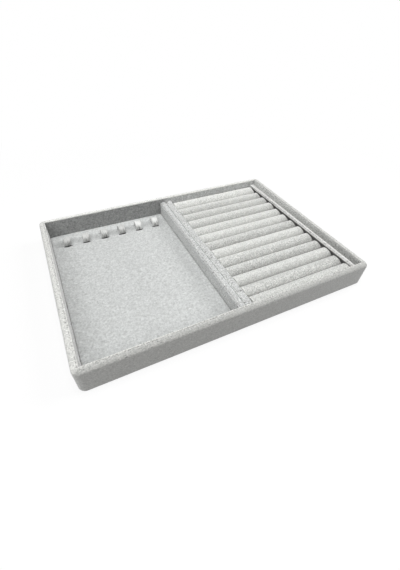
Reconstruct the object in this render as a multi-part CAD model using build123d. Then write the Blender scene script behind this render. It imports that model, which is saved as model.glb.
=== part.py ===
"""A low velvet jewelry tray with a necklace pad on the left and a ring insert on the right.

Units are millimetres. +X runs along the tray's length to the right, +Y to the back and +Z up. The
origin is the middle of the underside, on the surface that the tray stands on.

The tray is a box of boards wrapped in velvet: a base board, four wall boards, one outer wrap that
goes over the rim, and four inner linings. A covered divider halves it. The left half holds a loose
flat pad with strap loops for necklace chains. The right half holds a loose insert, a thin base
with two covered side walls and a row of foam rolls in velvet sleeves, which grip rings in between.
"""

import os

from build123d import *

os.makedirs("parts", exist_ok=True)

# Whole tray
tray_length = 350.0
tray_depth = 250.0
tray_height = 30.0
tray_corner_radius = 8.0
rim_round = 3.6
foot_round = 0.8

# Velvet and boards of the tray
velvet_thickness = 1.1
wall_board_thickness = 5.1
base_board_thickness = 1.3
bottom_cover_thickness = 0.4
bottom_cover_inset = 5.0
wrap_turn_in = 14.0
filler_clearance = 0.3
cut_overrun = 5.0

# Divider
divider_board_thickness = 6.5
divider_edge_round = 0.9
divider_seam_from_left = 2.7
divider_seam_gap = 0.2

# Necklace pad and its loops
pad_clearance = 0.4
pad_board_thickness = 0.7
pad_edge_round = 0.8
loop_count = 6
loop_to_pad_side = 18.8
loop_to_pad_back = 14.0
loop_depth = 14.0
loop_height = 8.7
strap_width = 8.6
strap_thickness = 0.8
strap_tail = 9.0
slit_width = 11.2
slit_opening = 1.4
slit_clearance = 0.15
tail_clearance = 0.3

# Ring insert and its rolls
insert_clearance = 0.3
insert_base_thickness = 2.0
insert_left_board_thickness = 7.0
insert_right_board_thickness = 2.1
insert_edge_round = 0.9
roll_count = 13
roll_side_gap = 0.8
roll_left_gap = 0.6
roll_right_gap = 4.4
roll_end_round = 2.4
roll_foot_press = 0.3
roll_above_walls = 0.3
sleeve_seam_gap = 2.4
foam_clearance = 0.15

# Tray levels and inside
wall_thickness = wall_board_thickness + 2 * velvet_thickness
inner_length = tray_length - 2 * wall_thickness
inner_depth = tray_depth - 2 * wall_thickness
board_inner_length = inner_length + 2 * velvet_thickness
board_inner_depth = inner_depth + 2 * velvet_thickness
core_length = tray_length - 2 * velvet_thickness
core_depth = tray_depth - 2 * velvet_thickness
core_corner_radius = tray_corner_radius - velvet_thickness
base_bottom = bottom_cover_thickness + velvet_thickness
floor_top = base_bottom + base_board_thickness
lip_bottom = tray_height - velvet_thickness

# Ring insert, worked out
insert_depth = inner_depth - 2 * insert_clearance
insert_floor = floor_top + insert_base_thickness
roll_pitch = insert_depth / roll_count
roll_radius = (roll_pitch - roll_side_gap) / 2
roll_axis_height = insert_floor + roll_radius - roll_foot_press
wall_top = roll_axis_height + roll_radius - roll_above_walls

# Divider, worked out
divider_thickness = divider_board_thickness + 2 * velvet_thickness
divider_left = -divider_thickness / 2
divider_right = divider_thickness / 2
seam_x = divider_left + divider_seam_from_left

# Ring insert, left to right
insert_left = divider_right + insert_clearance
insert_right = inner_length / 2 - insert_clearance
insert_left_wall_right = insert_left + insert_left_board_thickness + 2 * velvet_thickness
insert_right_wall_left = insert_right - insert_right_board_thickness - 2 * velvet_thickness
roll_left = insert_left_wall_right + roll_left_gap
roll_right = insert_right_wall_left - roll_right_gap

# Necklace pad, worked out
pad_left = pad_clearance - inner_length / 2
pad_right = divider_left - pad_clearance
pad_back = inner_depth / 2 - pad_clearance
loop_spacing = (pad_right - pad_left - 2 * loop_to_pad_side) / (loop_count - 1)
pad_backing_top = floor_top + strap_thickness
pad_board_top = pad_backing_top + pad_board_thickness
pad_top = pad_board_top + velvet_thickness
loop_back = pad_back - loop_to_pad_back
loop_front = loop_back - loop_depth
loop_middle = (loop_front + loop_back) / 2
loop_crown = pad_top + loop_height


def span_box(x_low, x_high, y_low, y_high, z_low, z_high):
    """Return a box between two limits along each axis."""
    centre = Pos((x_low + x_high) / 2, (y_low + y_high) / 2, (z_low + z_high) / 2)
    return centre * Box(x_high - x_low, y_high - y_low, z_high - z_low)


def middle_box(length, depth, z_low, z_high):
    """Return a box centred on the tray, between two levels."""
    return span_box(-length / 2, length / 2, -depth / 2, depth / 2, z_low, z_high)


def rounded_plate(length, depth, radius, z_low, z_high):
    """Return a plate with rounded corners in plan, between two levels."""
    outline = Pos(0, 0, z_low) * RectangleRounded(length, depth, radius)
    return extrude(outline, z_high - z_low)


def edges_at(solid, level):
    """Return the edges that lie wholly at one level."""
    return solid.edges().filter_by(Plane.XY).group_by(Axis.Z)[0 if level == "bottom" else -1]


def tray_core():
    """Return the space inside the outer wrap, with its soft outer top edge."""
    core = rounded_plate(core_length, core_depth, core_corner_radius, base_bottom, lip_bottom)
    return fillet(edges_at(core, "top"), rim_round - velvet_thickness)


def outer_wrap():
    """Return the velvet that covers the outer faces and the rim and turns in under the base."""
    low = bottom_cover_thickness
    body = rounded_plate(tray_length, tray_depth, tray_corner_radius, low, tray_height)
    body = fillet(edges_at(body, "top"), rim_round)
    body = fillet(edges_at(body, "bottom"), foot_round)
    mouth = middle_box(inner_length, inner_depth, lip_bottom - cut_overrun, tray_height + cut_overrun)
    window_length = core_length - 2 * wrap_turn_in
    window_depth = core_depth - 2 * wrap_turn_in
    window = middle_box(window_length, window_depth, low - cut_overrun, base_bottom + cut_overrun)
    return body - tray_core() - mouth - window


def bottom_filler():
    """Return the card that fills the space inside the wrap's turned-in edge."""
    length = core_length - 2 * (wrap_turn_in + filler_clearance)
    depth = core_depth - 2 * (wrap_turn_in + filler_clearance)
    return middle_box(length, depth, bottom_cover_thickness, base_bottom)


def bottom_cover():
    """Return the sheet that the tray stands on, over the turned-in velvet and the filler."""
    length = tray_length - 2 * bottom_cover_inset
    depth = tray_depth - 2 * bottom_cover_inset
    return middle_box(length, depth, 0, bottom_cover_thickness)


def base_board():
    """Return the board that the walls stand on."""
    return rounded_plate(core_length, core_depth, core_corner_radius, base_bottom, floor_top)


def wall_boards():
    """Return the four wall boards: long front and back ones with the side ones in between."""
    frame = tray_core() - middle_box(board_inner_length, board_inner_depth, 0, tray_height)
    frame -= middle_box(tray_length, tray_depth, 0, floor_top)
    half_length = tray_length / 2
    half_depth = tray_depth / 2
    side = board_inner_length / 2
    front = board_inner_depth / 2
    zones = {
        "front_wall_board": (-half_length, half_length, -half_depth, -front),
        "back_wall_board": (-half_length, half_length, front, half_depth),
        "left_wall_board": (-half_length, -side, -front, front),
        "right_wall_board": (side, half_length, -front, front),
    }
    return {name: frame & span_box(*zone, 0, tray_height) for name, zone in zones.items()}


def wall_linings():
    """Return the four velvet linings of the inner wall faces, under the wrap's lip."""
    side = inner_length / 2
    board_side = board_inner_length / 2
    front = inner_depth / 2
    board_front = board_inner_depth / 2
    zones = {
        "front_wall_lining": (-board_side, board_side, -board_front, -front),
        "back_wall_lining": (-board_side, board_side, front, board_front),
        "left_wall_lining": (-board_side, -side, -front, front),
        "right_wall_lining": (side, board_side, -front, front),
    }
    return {name: span_box(*zone, floor_top, lip_bottom) for name, zone in zones.items()}


def covered_bar(x_low, x_high, half_depth, z_low, z_high, edge_round):
    """Return a bar along Y with rounded top edges, the outer form of a velvet-covered board."""
    bar = span_box(x_low, x_high, -half_depth, half_depth, z_low, z_high)
    return fillet(edges_at(bar, "top"), edge_round)


def divider():
    """Return the divider's board and its two velvet covers, which meet in a seam on the top."""
    half_depth = inner_depth / 2
    board_left = divider_left + velvet_thickness
    board_right = divider_right - velvet_thickness
    board_top = wall_top - velvet_thickness
    board = span_box(board_left, board_right, -half_depth, half_depth, floor_top, board_top)
    skin = covered_bar(divider_left, divider_right, half_depth, floor_top, wall_top, divider_edge_round)
    skin -= board
    left_end = seam_x - divider_seam_gap / 2
    right_start = seam_x + divider_seam_gap / 2
    left_zone = span_box(divider_left, left_end, -half_depth, half_depth, floor_top, wall_top)
    right_zone = span_box(right_start, divider_right, -half_depth, half_depth, floor_top, wall_top)
    return {
        "divider_board": board,
        "divider_left_cover": skin & left_zone,
        "divider_right_cover": skin & right_zone,
    }


def loop_centres():
    """Return the X of each strap loop, in an even row from side to side of the pad."""
    return [pad_left + loop_to_pad_side + index * loop_spacing for index in range(loop_count)]


def pad_slits(z_low, z_high):
    """Return the slits, between two levels, that let the straps through the pad."""
    slits = []
    outer = slit_opening
    inner = strap_thickness + slit_clearance
    for x in loop_centres():
        x_low = x - slit_width / 2
        x_high = x + slit_width / 2
        slits.append(span_box(x_low, x_high, loop_front - outer, loop_front + inner, z_low, z_high))
        slits.append(span_box(x_low, x_high, loop_back - inner, loop_back + outer, z_low, z_high))
    return slits


def tail_windows():
    """Return the windows in the backing that the strap tails lie in."""
    half_width = strap_width / 2 + tail_clearance
    front = loop_front - strap_tail - tail_clearance
    back = loop_back + strap_tail + tail_clearance
    low = floor_top - cut_overrun
    high = pad_backing_top + cut_overrun
    return [span_box(x - half_width, x + half_width, front, back, low, high) for x in loop_centres()]


def necklace_pad():
    """Return the pad's velvet cover, its board and the backing sheet under it."""
    low = floor_top - cut_overrun
    high = pad_top + cut_overrun
    cover = span_box(pad_left, pad_right, -pad_back, pad_back, floor_top, pad_top)
    cover = fillet(edges_at(cover, "top"), pad_edge_round)
    core_left = pad_left + velvet_thickness
    core_right = pad_right - velvet_thickness
    core_back = pad_back - velvet_thickness
    core = span_box(core_left, core_right, -core_back, core_back, low, pad_board_top)
    backing = span_box(core_left, core_right, -core_back, core_back, floor_top, pad_backing_top)
    board = span_box(core_left, core_right, -core_back, core_back, pad_backing_top, pad_board_top)
    return {
        "necklace_pad_cover": cover - core - pad_slits(low, high),
        "necklace_pad_board": board - pad_slits(low, high),
        "necklace_pad_backing": backing - tail_windows(),
    }


def arch(width, crown, foot):
    """Return a face with straight sides up from the foot and a half-round head."""
    radius = width / 2
    leg_height = crown - radius - foot
    face = Pos(loop_middle, foot + leg_height / 2) * Rectangle(width, leg_height)
    head = Pos(loop_middle, crown - radius) * Circle(radius)
    head &= Pos(loop_middle, crown - radius / 2) * Rectangle(width, radius)
    return face + head


def strap_profile():
    """Return the strap seen from the side: an arch on two legs with tails turned out below."""
    strap = arch(loop_depth, loop_crown, floor_top)
    strap -= arch(loop_depth - 2 * strap_thickness, loop_crown - strap_thickness, floor_top)
    tail_height = floor_top + strap_thickness / 2
    tail = Rectangle(strap_tail, strap_thickness)
    strap += Pos(loop_front - strap_tail / 2, tail_height) * tail
    strap += Pos(loop_back + strap_tail / 2, tail_height) * tail
    return strap


def necklace_loops():
    """Return the strap loops that necklace chains hang in."""
    profile = Plane.YZ * strap_profile()
    strap = extrude(profile, strap_width / 2, both=True)
    return {
        f"necklace_loop_{number}": Pos(x, 0, 0) * strap
        for number, x in enumerate(loop_centres(), start=1)
    }


def insert_base():
    """Return the insert's base board, between the covers of its side walls."""
    half_depth = insert_depth / 2
    x_low = insert_left + velvet_thickness
    x_high = insert_right - velvet_thickness
    return span_box(x_low, x_high, -half_depth, half_depth, floor_top, insert_floor)


def insert_wall(x_low, x_high):
    """Return one side wall's board and its velvet cover, closed over the ends and the top."""
    half_depth = insert_depth / 2
    board_low = x_low + velvet_thickness
    board_high = x_high - velvet_thickness
    board_depth = half_depth - velvet_thickness
    board_top = wall_top - velvet_thickness
    board = span_box(board_low, board_high, -board_depth, board_depth, insert_floor, board_top)
    cover = covered_bar(x_low, x_high, half_depth, floor_top, wall_top, insert_edge_round)
    return board, cover - board - insert_base()


def roll_form(offset):
    """Return a roll's form along X, drawn in by an offset and flat where it is pressed down."""
    radius = roll_radius - offset
    length = roll_right - roll_left - 2 * offset
    form = Rot(0, 90, 0) * Cylinder(radius, length)
    rims = form.edges().filter_by(GeomType.CIRCLE)
    form = fillet(rims, roll_end_round - offset)
    form = Pos((roll_left + roll_right) / 2, 0, roll_axis_height) * form
    foot = insert_floor + offset
    below = span_box(insert_left, insert_right, -roll_pitch, roll_pitch, floor_top - cut_overrun, foot)
    return form - below


def ring_rolls():
    """Return the foam rolls and their velvet sleeves, whose edges meet underneath."""
    half_seam = sleeve_seam_gap / 2
    seam_ends = roll_end_round
    seam = span_box(
        roll_left + seam_ends,
        roll_right - seam_ends,
        -half_seam,
        half_seam,
        floor_top,
        insert_floor + velvet_thickness + foam_clearance,
    )
    sleeve = roll_form(0) - roll_form(velvet_thickness) - seam
    foam = roll_form(velvet_thickness + foam_clearance)
    rolls = {}
    for index in range(roll_count):
        y = insert_depth / 2 - (index + 1 / 2) * roll_pitch
        rolls[f"ring_roll_{index + 1:02d}_sleeve"] = Pos(0, y, 0) * sleeve
        rolls[f"ring_roll_{index + 1:02d}_foam"] = Pos(0, y, 0) * foam
    return rolls


def ring_insert():
    """Return the insert's base, its covered side walls and its rolls."""
    left_board, left_cover = insert_wall(insert_left, insert_left_wall_right)
    right_board, right_cover = insert_wall(insert_right_wall_left, insert_right)
    return {
        "ring_insert_base": insert_base(),
        "ring_insert_left_board": left_board,
        "ring_insert_left_cover": left_cover,
        "ring_insert_right_board": right_board,
        "ring_insert_right_cover": right_cover,
        **ring_rolls(),
    }


nodes = {
    "tray_outer_wrap": outer_wrap(),
    "tray_bottom_filler": bottom_filler(),
    "tray_bottom_cover": bottom_cover(),
    "tray_base_board": base_board(),
    **wall_boards(),
    **wall_linings(),
    **divider(),
    **necklace_pad(),
    **necklace_loops(),
    **ring_insert(),
}

for name, solid in nodes.items():
    export_step(solid, f"parts/{name}.step")
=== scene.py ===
"""Looks of a low velvet jewelry tray, with a necklace pad on the left and a ring insert on the right.

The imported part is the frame. Its boards and its bottom sheet stay and get a finish. Each velvet or
foam solid is replaced by a modelled piece of cloth or foam in the same place. Sizes are in
millimetres, in the frame of the part, and turn into metres when a mesh is made.
"""

import sys

import logging
import math
from collections.abc import Callable, Iterable, Sequence
from dataclasses import dataclass, field, replace
from enum import Enum
from functools import partial
from itertools import product

import bpy
import numpy as np
from mathutils import Matrix, Vector, noise


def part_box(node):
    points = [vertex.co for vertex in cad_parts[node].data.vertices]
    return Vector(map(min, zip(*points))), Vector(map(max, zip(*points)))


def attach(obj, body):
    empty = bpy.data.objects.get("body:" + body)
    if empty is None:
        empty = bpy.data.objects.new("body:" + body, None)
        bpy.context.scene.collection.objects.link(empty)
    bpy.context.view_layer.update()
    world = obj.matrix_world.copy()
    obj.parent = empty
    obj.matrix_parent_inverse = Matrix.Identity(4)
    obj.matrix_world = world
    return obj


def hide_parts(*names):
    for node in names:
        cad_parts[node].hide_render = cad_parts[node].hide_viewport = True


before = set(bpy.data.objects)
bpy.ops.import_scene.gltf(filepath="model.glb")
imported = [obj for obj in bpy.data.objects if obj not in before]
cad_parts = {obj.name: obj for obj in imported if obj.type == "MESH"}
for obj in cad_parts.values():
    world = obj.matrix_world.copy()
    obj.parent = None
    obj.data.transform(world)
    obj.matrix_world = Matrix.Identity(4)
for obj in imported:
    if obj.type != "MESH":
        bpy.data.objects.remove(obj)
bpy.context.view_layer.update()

MM = 0.001
TOUCH = 0.01  # distance at which two places count as one, in millimetres
ROUNDING = 1e-6
TRAY = "tray"
PAD = "necklace_pad"
INSERT = "ring_insert"

Triple = tuple[float, float, float]
Colour = Triple
Span = tuple[float, float]
Corners = tuple[np.ndarray, np.ndarray]
Rule = Callable[[np.ndarray], np.ndarray]

report = logging.getLogger("tray")


# Shader graphs


@dataclass(frozen=True)
class Signal:
    """A socket of a node tree that can stand in an expression, which adds its Math nodes."""

    graph: "Graph"
    socket: bpy.types.NodeSocket

    def of(self, name: str) -> "Signal":
        """Return another output of the same node."""
        return Signal(self.graph, self.socket.node.outputs[name])

    def math(self, operation: str, first: "Signal | float", second: "Signal | float") -> "Signal":
        """Return the result of a Math node on two values."""
        return self.graph.add("ShaderNodeMath", {"operation": operation}, {0: first, 1: second})

    def __add__(self, other: "Signal | float") -> "Signal":
        """Return the sum of two values."""
        return self.math("ADD", self, other)

    def __radd__(self, other: float) -> "Signal":
        """Return the sum of a number and this value."""
        return self.math("ADD", other, self)

    def __sub__(self, other: "Signal | float") -> "Signal":
        """Return this value less another."""
        return self.math("SUBTRACT", self, other)

    def __rsub__(self, other: float) -> "Signal":
        """Return a number less this value."""
        return self.math("SUBTRACT", other, self)

    def __mul__(self, other: "Signal | float") -> "Signal":
        """Return the product of two values."""
        return self.math("MULTIPLY", self, other)

    def __rmul__(self, other: float) -> "Signal":
        """Return the product of a number and this value."""
        return self.math("MULTIPLY", other, self)

    def step(self, start: float, end: float) -> "Signal":
        """Return a smooth step of this value, 0 before start and 1 after end."""
        sockets = {"Value": self, "From Min": start, "From Max": end}
        return self.graph.add("ShaderNodeMapRange", {"interpolation_type": "SMOOTHSTEP"}, sockets)

    def spread(self, gain: float) -> "Signal":
        """Return a noise as a change of tone around 0, up to a gain."""
        return (self - 0.5) * (2 * gain)


@dataclass(frozen=True)
class Graph:
    """The node tree of one material or world."""

    tree: bpy.types.NodeTree

    def add(self, kind: str, settings: dict | None = None, sockets: dict | None = None) -> Signal | None:
        """Add a node.

        Args:
            kind: The node's type.
            settings: The node's properties, which are set first.
            sockets: Values or signals for its inputs, by name or by place.

        Returns:
            The node's first output that is in use, if it has one.
        """
        node = self.tree.nodes.new(kind)
        for name, value in (settings or {}).items():
            setattr(node, name, value)
        for key, value in (sockets or {}).items():
            named = (socket for socket in node.inputs if socket.enabled and socket.name == key)
            socket = node.inputs[key] if isinstance(key, int) else next(named)
            if isinstance(value, Signal):
                self.tree.links.new(value.socket, socket)
            else:
                socket.default_value = value
        used = [socket for socket in node.outputs if socket.enabled]
        return Signal(self, used[0]) if used else None

    def noise(self, place: Signal, size: float, detail: float, roughness: float, warp: float) -> Signal:
        """Add a noise texture.

        Args:
            place: The coordinates, in metres.
            size: The size of its marks, in millimetres.
            detail: How many finer layers it has.
            roughness: How strong the finer layers are.
            warp: How far the marks are twisted.

        Returns:
            The noise, about 0.5 on average.
        """
        layers = {"Detail": detail, "Roughness": roughness, "Distortion": warp}
        return self.add("ShaderNodeTexNoise", None, {"Vector": place, "Scale": 1 / (size * MM), **layers})

    def mark(self, name: str) -> Signal:
        """Return a value that a mesh holds for each of its points."""
        return self.add("ShaderNodeAttribute", {"attribute_name": name}).of("Fac")

    def laid(self, place: Signal, stretch: Triple) -> Signal:
        """Return coordinates stretched along the axes."""
        return self.add("ShaderNodeMapping", None, {"Vector": place, "Scale": stretch})

    def shaded(self, colour: Colour, tone: Signal) -> Signal:
        """Return a colour made lighter or darker by a tone around 1."""
        return self.add("ShaderNodeVectorMath", {"operation": "SCALE"}, {0: colour, "Scale": tone})

    def bump(self, height: Signal, strength: float, depth: float) -> Signal:
        """Return normals bent by a height from 0 to 1, whose real depth is in millimetres."""
        sockets = {"Strength": strength, "Distance": depth * MM, "Height": height}
        return self.add("ShaderNodeBump", None, sockets)

    def surface(self, sockets: dict) -> None:
        """Add the material's shader and its output."""
        shader = self.add("ShaderNodeBsdfPrincipled", None, sockets)
        self.add("ShaderNodeOutputMaterial", None, {"Surface": shader})


def new_material(name: str) -> tuple[bpy.types.Material, Graph]:
    """Make an empty material.

    Args:
        name: Its name.

    Returns:
        The material and its graph.
    """
    material = bpy.data.materials.new(name)
    material.use_nodes = True
    material.node_tree.nodes.clear()
    return material, Graph(material.node_tree)


class Nap(Enum):
    """How the pile of a velvet lies, as the stretch of its marks along the axes."""

    BRUSHED = (1.0, 1.0, 1.0)
    CRUSHED = (1.0, 1.25, 1.25)
    STREAKED = (2.6, 0.45, 0.45)


@dataclass(frozen=True)
class Velvet:
    """A short velvet, seen as patches of pile that lie one way or the other."""

    name: str
    colour: Colour  # linear, at a middle tone
    nap: Nap = Nap.BRUSHED
    patch_size: float = 17.0
    patch_gain: float = 0.10  # how much the brushed patches differ in tone
    crushed_share: float = 0.45  # share of the surface whose pile is pressed
    fleck_size: float = 2.4  # kept off grain_size, at which both noises would be one
    fleck_gain: float = 0.10  # how dark the flecks of pressed pile are
    glint_gain: float = 0.05  # how light the flecks of open pile are
    fleck_sides: float = 0.3  # how much of the flecks shows on upright faces
    fleck_tops: float = 1.0  # how much of them shows on flat faces
    grain_size: float = 2.2  # size of the tufts that stand together
    grain_gain: float = 0.35
    pile_size: float = 0.55  # size of the single tufts
    pile_gain: float = 0.10
    rounding_highlight_gain: float = 0.10  # painted highlight: how much lighter the pile is over a rounded edge
    crease_shade_gain: float = 0.45  # painted shade, in dots: how dark the gaps in the pile are along a crease
    crest_highlight_gain: float = 0.0  # painted highlight: how much lighter the pile is on a crest
    upright_tone: float = 1.0  # painted shade: tone of upright faces, against flat ones
    sheen: float = 0.5
    # Where a mark starts and is full, as values of its noise or of how far a face looks up
    dark_flecks: Span = (0.52, 0.68)
    light_flecks: Span = (0.54, 0.72)
    pile_gaps: Span = (0.46, 0.58)
    lying_flat: Span = (0.15, 0.85)
    crest: Span = (0.86, 1.0)
    gap_size: float = 2.0
    # Detail, roughness and warp of each noise
    patch_layers: Triple = (3.0, 0.55, 0.7)
    fleck_layers: Triple = (2.0, 0.6, 0.5)
    grain_layers: Triple = (3.0, 0.7, 0.4)
    plain_layers: Triple = (1.0, 0.5, 0.0)
    open_flecks: float = 0.2  # how much of the dark flecks shows where the pile isn't pressed
    relief: Triple = (0.4, 0.3, 0.3)  # shares of the tufts, the grain and the flecks in the height
    pressed_depth: float = 0.3
    patch_contrast: float = 0.16  # how far the share of pressed pile moves the patches' limit
    patch_blur: float = 0.05

    def tinted(self, name: str, tone: float, **changes: float) -> "Velvet":
        """Return this velvet under another name, lighter or darker, and with other changes."""
        colour = tuple(channel * tone for channel in self.colour)
        return replace(self, name=name, colour=colour, **changes)

    def material(self) -> bpy.types.Material:
        """Make the velvet's nodes.

        Returns:
            The material.
        """
        material, graph = new_material(self.name)
        texture = graph.add("ShaderNodeTexCoord")
        place = texture.of("Object")
        laid = graph.laid(place, self.nap.value)
        patches = graph.noise(laid, self.patch_size, *self.patch_layers)
        limit = 0.5 + self.patch_contrast * (1 - 2 * self.crushed_share)
        crushed = patches.step(limit - self.patch_blur, limit + self.patch_blur)
        flecks = graph.noise(laid, self.fleck_size, *self.fleck_layers)
        grain = graph.noise(laid, self.grain_size, *self.grain_layers)
        pile = graph.noise(place, self.pile_size, *self.plain_layers)
        gaps = graph.noise(place, self.gap_size, *self.plain_layers).step(*self.pile_gaps)
        facing = graph.add("ShaderNodeSeparateXYZ", None, {0: texture.of("Normal")}).of("Z")
        flat = facing.step(*self.lying_flat)
        shown = flat * (self.fleck_tops - self.fleck_sides) + self.fleck_sides
        dark = flecks.step(*self.dark_flecks) * (crushed * (1 - self.open_flecks) + self.open_flecks)
        tone = 1 + patches.spread(self.patch_gain) - dark * shown * self.fleck_gain
        tone = tone + (1 - flecks).step(*self.light_flecks) * shown * self.glint_gain
        tone = tone + grain.spread(self.grain_gain) + pile.spread(self.pile_gain)
        # Painted light: highlights on rounded edges and crests, shade on upright faces, the light and
        # shade that a mesh paints on its points, and dotted shade along its creases
        tone = tone + graph.mark("fold") * self.rounding_highlight_gain + facing.step(*self.crest) * self.crest_highlight_gain
        tone = tone * (flat * (1 - self.upright_tone) + self.upright_tone)
        tone = tone * graph.mark("painted_light") * (1 - gaps * graph.mark("edge") * self.crease_shade_gain)
        tufts, grains, marks = self.relief
        height = pile * tufts + grain * grains + (flecks - crushed * self.pressed_depth) * marks
        graph.surface({
            "Base Color": graph.shaded(self.colour, tone),
            "Roughness": 0.86 + flecks.spread(0.1),
            "Specular IOR Level": 0.15,
            "Sheen Weight": self.sheen,
            "Sheen Roughness": 0.42,
            "Normal": graph.bump(height, 0.5, 0.35),
        })
        return material


@dataclass(frozen=True)
class Board:
    """Grey pulp board or card with pressed fibres."""

    name: str
    colour: Colour  # linear, at a middle tone
    fibre_size: float = 1.4
    fibre_gain: float = 0.16  # how much the fibres differ in tone
    cloud_size: float = 22.0
    cloud_gain: float = 0.06
    stretch: Triple = (0.4, 1.0, 1.0)  # the fibres are longest from left to right
    fibre_layers: Triple = (4.0, 0.6, 1.2)  # detail, roughness and warp
    cloud_layers: Triple = (2.0, 0.5, 0.0)

    def material(self) -> bpy.types.Material:
        """Make the board's nodes.

        Returns:
            The material.
        """
        material, graph = new_material(self.name)
        place = graph.add("ShaderNodeTexCoord").of("Object")
        fibres = graph.noise(graph.laid(place, self.stretch), self.fibre_size, *self.fibre_layers)
        cloud = graph.noise(place, self.cloud_size, *self.cloud_layers)
        tone = 1 + fibres.spread(self.fibre_gain) + cloud.spread(self.cloud_gain)
        graph.surface({
            "Base Color": graph.shaded(self.colour, tone),
            "Roughness": 0.8 + fibres.spread(0.1),
            "Specular IOR Level": 0.25,
            "Normal": graph.bump(fibres, 0.4, 0.12),
        })
        return material


@dataclass(frozen=True)
class Foam:
    """Open-celled foam."""

    name: str
    colour: Colour  # linear, of the cell walls
    cell_size: float = 0.9
    cell_wall: Span = (0.05, 0.45)  # where a cell's opening ends and its wall is full
    cell_shade: float = 0.35

    def material(self) -> bpy.types.Material:
        """Make the foam's nodes.

        Returns:
            The material.
        """
        material, graph = new_material(self.name)
        place = graph.add("ShaderNodeTexCoord").of("Object")
        sockets = {"Vector": place, "Scale": 1 / (self.cell_size * MM)}
        cells = graph.add("ShaderNodeTexVoronoi", {"feature": "F1"}, sockets).of("Distance")
        shade = (1 - cells.step(*self.cell_wall)) * self.cell_shade
        graph.surface({
            "Base Color": graph.shaded(self.colour, 1 - shade),
            "Roughness": 0.95,
            "Normal": graph.bump(cells, 0.6, 0.3),
        })
        return material


# Forms


def box_of(node: str) -> Corners:
    """Return the lowest and the highest corner of a CAD node, in millimetres."""
    low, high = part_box(node)
    return np.array(low) / MM, np.array(high) / MM


def ramp(values: np.ndarray, start: float, end: float) -> np.ndarray:
    """Return 0 before start, 1 after end and an even rise in between, also where end is the lower."""
    return np.clip((values - start) / (end - start), 0, 1)


def hump(values: np.ndarray, middle: float, width: float) -> np.ndarray:
    """Return 1 at the middle, which dies out smoothly over a width to each side."""
    return np.exp(-(((values - middle) / width) ** 2))


def unevenness(point: Sequence[float], size: float) -> float:
    """Give a smooth random height at a point, of broad swells with finer ones on them.

    Args:
        point: The point.
        size: The size of the broad swells.

    Returns:
        The height, from -1 to 1.
    """
    share, finer, shift = 0.3, 2.7, Vector((9.1, 3.7, 5.3))
    place = Vector(point) / size
    return (1 - share) * noise.noise(place) + share * noise.noise(place * finer + shift)


def even(points: np.ndarray) -> np.ndarray:
    """Return 1 for each point."""
    return np.ones(len(points))


def nowhere(points: np.ndarray) -> np.ndarray:
    """Return 0 for each point."""
    return np.zeros(len(points))


@dataclass
class Form:
    """The points and faces of a piece while it is made, in millimetres."""

    points: np.ndarray
    faces: list[tuple[int, ...]]

    def shaped(self, rule: Rule) -> "Form":
        """Return the form with its points moved by a rule."""
        return Form(rule(self.points.copy()), self.faces)

    def joined(self, other: "Form") -> "Form":
        """Join another form to this one.

        Args:
            other: The other form.

        Returns:
            One form that holds both.
        """
        start = len(self.points)
        moved = [tuple(index + start for index in face) for face in other.faces]
        return Form(np.vstack([self.points, other.points]), self.faces + moved)

    def turned_inside_out(self) -> "Form":
        """Return the form with its faces looking the other way."""
        return Form(self.points, [face[::-1] for face in self.faces])

    def to_object(
        self, name: str, swell: Span | None = None, painted_light: Rule = even, edge: Rule = nowhere
    ) -> bpy.types.Object:
        """Make a Blender object.

        Args:
            name: The piece's name.
            swell: How far the surface swells and sinks, and the length of the swells.
            painted_light: Gives the painted light and shade at each point, as a tone.
            edge: Gives how near each point is to a crease, from 0 to 1, where dotted shade is painted.

        Returns:
            The object, in metres, with its points' marks for the velvet.
        """
        mesh = bpy.data.meshes.new(name)
        mesh.from_pydata([tuple(point) for point in self.points * MM], [], self.faces)
        mesh.update()
        normals = np.zeros(len(mesh.vertices) * 3)
        mesh.vertices.foreach_get("normal", normals)
        normals = normals.reshape(-1, 3)
        if swell:
            height, length = swell
            heights = np.array([unevenness(point, length) for point in self.points])
            moved = self.points + normals * (height * heights)[:, None]
            mesh.vertices.foreach_set("co", (moved * MM).ravel())
        sharpest = 0.29  # how far a normal turns from all axes in the middle of a rounded edge
        # Rounded edges, where the velvets paint a highlight
        fold = ramp(np.abs(normals).max(axis=1), 1, 1 - sharpest)
        marks = {"fold": fold, "painted_light": painted_light(self.points), "edge": edge(self.points)}
        for mark, values in marks.items():
            attribute = mesh.attributes.new(mark, "FLOAT", "POINT")
            attribute.data.foreach_set("value", values.astype(np.float32))
        mesh.polygons.foreach_set("use_smooth", [True] * len(mesh.polygons))
        mesh.update()
        piece = bpy.data.objects.new(name, mesh)
        bpy.context.scene.collection.objects.link(piece)
        return piece


def closed_shell(outer: Form, inner: np.ndarray) -> Form:
    """Make a closed shell from an open surface.

    Args:
        outer: The outer surface.
        inner: The matching points of the inner side.

    Returns:
        The shell.
    """
    count = len(outer.points)
    faces = list(outer.faces) + [tuple(i + count for i in reversed(f)) for f in outer.faces]
    used = dict.fromkeys(pair for face in outer.faces for pair in zip(face, face[1:] + face[:1]))
    faces += [(b, a, a + count, b + count) for a, b in used if (b, a) not in used]
    return Form(np.vstack([outer.points, inner]), faces)


def strip_shell(outer: np.ndarray, inner: np.ndarray, ring: bool) -> Form:
    """Make a closed shell from two grids of points.

    Args:
        outer: The outer points, as rows along the piece and places across it.
        inner: The matching inner points.
        ring: Whether the last row joins the first.

    Returns:
        The shell.
    """
    rows, places = outer.shape[:2]
    faces = []
    for row, place in product(range(rows if ring else rows - 1), range(places - 1)):
        a, b = row * places + place, (row + 1) % rows * places + place
        faces.append((a, a + 1, b + 1, b))
    return closed_shell(Form(outer.reshape(-1, 3), faces), inner.reshape(-1, 3))


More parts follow.
